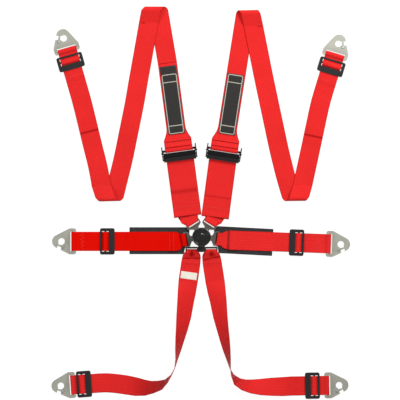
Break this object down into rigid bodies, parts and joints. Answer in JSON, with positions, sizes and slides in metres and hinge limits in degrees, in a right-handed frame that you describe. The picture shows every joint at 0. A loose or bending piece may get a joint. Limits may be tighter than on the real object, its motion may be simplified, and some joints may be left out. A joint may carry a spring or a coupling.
{
  "type": "racing harness",
  "caption": "Racing harness laid flat: rotary cam-lock buckle, padded lap straps, shoulder straps with lever adjusters, leg straps, and snap hooks on every strap end.",
  "frame": {"origin": "centre of the buckle's back face", "axes": "+Y up the shoulder straps, +X to the right seen from the front, +Z out of the buckle towards the viewer"},
  "size_m": [0.7917, 1.0401, 0.05],
  "materials": {
    "red_webbing": "woven, slight sheen",
    "pad_felt": "felted, matt",
    "black_label": "coated cloth",
    "cream_label": "printed cloth, blank",
    "satin_steel": "satin zinc plate",
    "bright_steel": "bright",
    "spring_steel": "bright wire",
    "dull_steel": "dark satin",
    "knob_black": "gloss black",
    "black_metal": "gloss black"
  },
  "bodies": {
    "buckle": {"back_cover": "black_metal", "crotch_plate": "dull_steel", "buckle_base": "black_metal", "base_screws": "bright_steel", "pin_spring": "spring_steel", "leg_left_strap": "red_webbing", "leg_right_strap": "red_webbing", "leg_slides": "black_metal", "approval_label": "cream_label"},
    "knob": {"knob": "knob_black", "cam_rotor": "bright_steel"},
    "lock_pins": {"lock_pins": "bright_steel"},
    "shoulder_left": {"shoulder_left_tongue": "dull_steel", "shoulder_left_lower_strap": "red_webbing", "shoulder_left_upper_strap": "red_webbing", "shoulder_left_adjuster_frame": "black_metal", "shoulder_left_grip_bar": "bright_steel", "shoulder_left_label": "black_label", "shoulder_left_slide": "black_metal"},
    "shoulder_left_lever": {"shoulder_left_adjuster_lever": "black_metal"},
    "shoulder_right": {"shoulder_right_tongue": "dull_steel", "shoulder_right_lower_strap": "red_webbing", "shoulder_right_upper_strap": "red_webbing", "shoulder_right_adjuster_frame": "black_metal", "shoulder_right_grip_bar": "bright_steel", "shoulder_right_label": "black_label", "shoulder_right_slide": "black_metal"},
    "shoulder_right_lever": {"shoulder_right_adjuster_lever": "black_metal"},
    "lap_left": {"lap_left_tongue": "dull_steel", "lap_left_strap": "red_webbing", "lap_left_pad": "pad_felt", "lap_left_slide": "black_metal"},
    "lap_right": {"lap_right_tongue": "dull_steel", "lap_right_strap": "red_webbing", "lap_right_pad": "pad_felt", "lap_right_slide": "black_metal"},
    "shoulder_left_hook": {"shoulder_left_hook": "satin_steel", "shoulder_left_rivet": "bright_steel", "shoulder_left_gate_spring": "spring_steel"},
    "shoulder_left_gate": {"shoulder_left_gate": "satin_steel"},
    "shoulder_right_hook": {"shoulder_right_hook": "satin_steel", "shoulder_right_rivet": "bright_steel", "shoulder_right_gate_spring": "spring_steel"},
    "shoulder_right_gate": {"shoulder_right_gate": "satin_steel"},
    "lap_left_hook": {"lap_left_hook": "satin_steel", "lap_left_rivet": "bright_steel", "lap_left_gate_spring": "spring_steel"},
    "lap_left_gate": {"lap_left_gate": "satin_steel"},
    "lap_right_hook": {"lap_right_hook": "satin_steel", "lap_right_rivet": "bright_steel", "lap_right_gate_spring": "spring_steel"},
    "lap_right_gate": {"lap_right_gate": "satin_steel"},
    "leg_left_hook": {"leg_left_hook": "satin_steel", "leg_left_rivet": "bright_steel", "leg_left_gate_spring": "spring_steel"},
    "leg_left_gate": {"leg_left_gate": "satin_steel"},
    "leg_right_hook": {"leg_right_hook": "satin_steel", "leg_right_rivet": "bright_steel", "leg_right_gate_spring": "spring_steel"},
    "leg_right_gate": {"leg_right_gate": "satin_steel"}
  },
  "joints": [
    {"name": "knob_turn", "type": "hinge", "parent": "buckle", "child": "knob", "pos_m": [0, 0, 0.0275], "axis": [0, 0, 1], "range_deg": [0, 40], "stiffness_Nm_per_rad": 0.3},
    {"name": "pins_lift", "type": "slide", "parent": "buckle", "child": "lock_pins", "axis": [0, 0, 1], "range_m": [0, 0.008], "deforming": ["pin_spring"]},
    {"name": "shoulder_left_release", "type": "slide", "parent": "buckle", "child": "shoulder_left", "axis": [-0.5329, 0.8462, 0], "range_m": [0, 0.016]},
    {"name": "shoulder_right_release", "type": "slide", "parent": "buckle", "child": "shoulder_right", "axis": [0.5329, 0.8462, 0], "range_m": [0, 0.016]},
    {"name": "lap_left_release", "type": "slide", "parent": "buckle", "child": "lap_left", "axis": [-0.9848, -0.1736, 0], "range_m": [0, 0.016]},
    {"name": "lap_right_release", "type": "slide", "parent": "buckle", "child": "lap_right", "axis": [0.9925, -0.1219, 0], "range_m": [0, 0.016]},
    {"name": "shoulder_left_hook_swing", "type": "hinge", "parent": "shoulder_left", "child": "shoulder_left_hook", "pos_m": [-0.35661, 0.49747, 0.0046], "axis": [-0.9612, -0.2759, 0], "range_deg": [-60, 60]},
    {"name": "shoulder_left_gate_open", "type": "hinge", "parent": "shoulder_left_hook", "child": "shoulder_left_gate", "pos_m": [-0.37751, 0.51766, 0.0046], "axis": [0, 0, -1], "range_deg": [0, 30], "stiffness_Nm_per_rad": 0.05},
    {"name": "shoulder_right_hook_swing", "type": "hinge", "parent": "shoulder_right", "child": "shoulder_right_hook", "pos_m": [0.35375, 0.48313, 0.0046], "axis": [-0.9566, 0.2915, 0], "range_deg": [-60, 60]},
    {"name": "shoulder_right_gate_open", "type": "hinge", "parent": "shoulder_right_hook", "child": "shoulder_right_gate", "pos_m": [0.37498, 0.50298, 0.0046], "axis": [0, 0, 1], "range_deg": [0, 30], "stiffness_Nm_per_rad": 0.05},
    {"name": "lap_left_hook_swing", "type": "hinge", "parent": "lap_left", "child": "lap_left_hook", "pos_m": [-0.341, -0.01164, 0.0046], "axis": [0, -1, 0], "range_deg": [-60, 60]},
    {"name": "lap_left_gate_open", "type": "hinge", "parent": "lap_left_hook", "child": "lap_left_gate", "pos_m": [-0.36618, -0.02616, 0.0046], "axis": [0, 0, -1], "range_deg": [0, 30], "stiffness_Nm_per_rad": 0.05},
    {"name": "lap_right_hook_swing", "type": "hinge", "parent": "lap_right", "child": "lap_right_hook", "pos_m": [0.339, -0.01811, 0.0046], "axis": [0.0366, 0.9993, 0], "range_deg": [-60, 60]},
    {"name": "lap_right_gate_open", "type": "hinge", "parent": "lap_right_hook", "child": "lap_right_gate", "pos_m": [0.36363, -0.03355, 0.0046], "axis": [0, 0, 1], "range_deg": [0, 30], "stiffness_Nm_per_rad": 0.05},
    {"name": "leg_left_hook_swing", "type": "hinge", "parent": "buckle", "child": "leg_left_hook", "pos_m": [-0.34279, -0.39207, 0.0046], "axis": [0.0698, -0.9976, 0], "range_deg": [-60, 60]},
    {"name": "leg_left_gate_open", "type": "hinge", "parent": "leg_left_hook", "child": "leg_left_gate", "pos_m": [-0.36689, -0.40831, 0.0046], "axis": [0, 0, -1], "range_deg": [0, 30], "stiffness_Nm_per_rad": 0.05},
    {"name": "leg_right_hook_swing", "type": "hinge", "parent": "buckle", "child": "leg_right_hook", "pos_m": [0.33448, -0.39332, 0.0046], "axis": [-0.0175, 0.9998, 0], "range_deg": [-60, 60]},
    {"name": "leg_right_gate_open", "type": "hinge", "parent": "leg_right_hook", "child": "leg_right_gate", "pos_m": [0.35991, -0.40741, 0.0046], "axis": [0, 0, 1], "range_deg": [0, 30], "stiffness_Nm_per_rad": 0.05},
    {"name": "shoulder_left_lever_lift", "type": "hinge", "parent": "shoulder_left", "child": "shoulder_left_lever", "pos_m": [-0.05913, 0.22599, 0.0155], "axis": [-0.9912, -0.1323, 0], "range_deg": [0, 45]},
    {"name": "shoulder_right_lever_lift", "type": "hinge", "parent": "shoulder_right", "child": "shoulder_right_lever", "pos_m": [0.05915, 0.22499, 0.0155], "axis": [-0.988, 0.1547, 0], "range_deg": [0, 45]}
  ],
  "couplings": [
    {"joint": "pins_lift", "follows": "knob_turn", "m_per_rad": 0.011459},
    {"joint": "shoulder_left_release", "follows": "knob_turn", "m_per_rad": 0.022918},
    {"joint": "shoulder_right_release", "follows": "knob_turn", "m_per_rad": 0.022918},
    {"joint": "lap_left_release", "follows": "knob_turn", "m_per_rad": 0.022918},
    {"joint": "lap_right_release", "follows": "knob_turn", "m_per_rad": 0.022918}
  ]
}
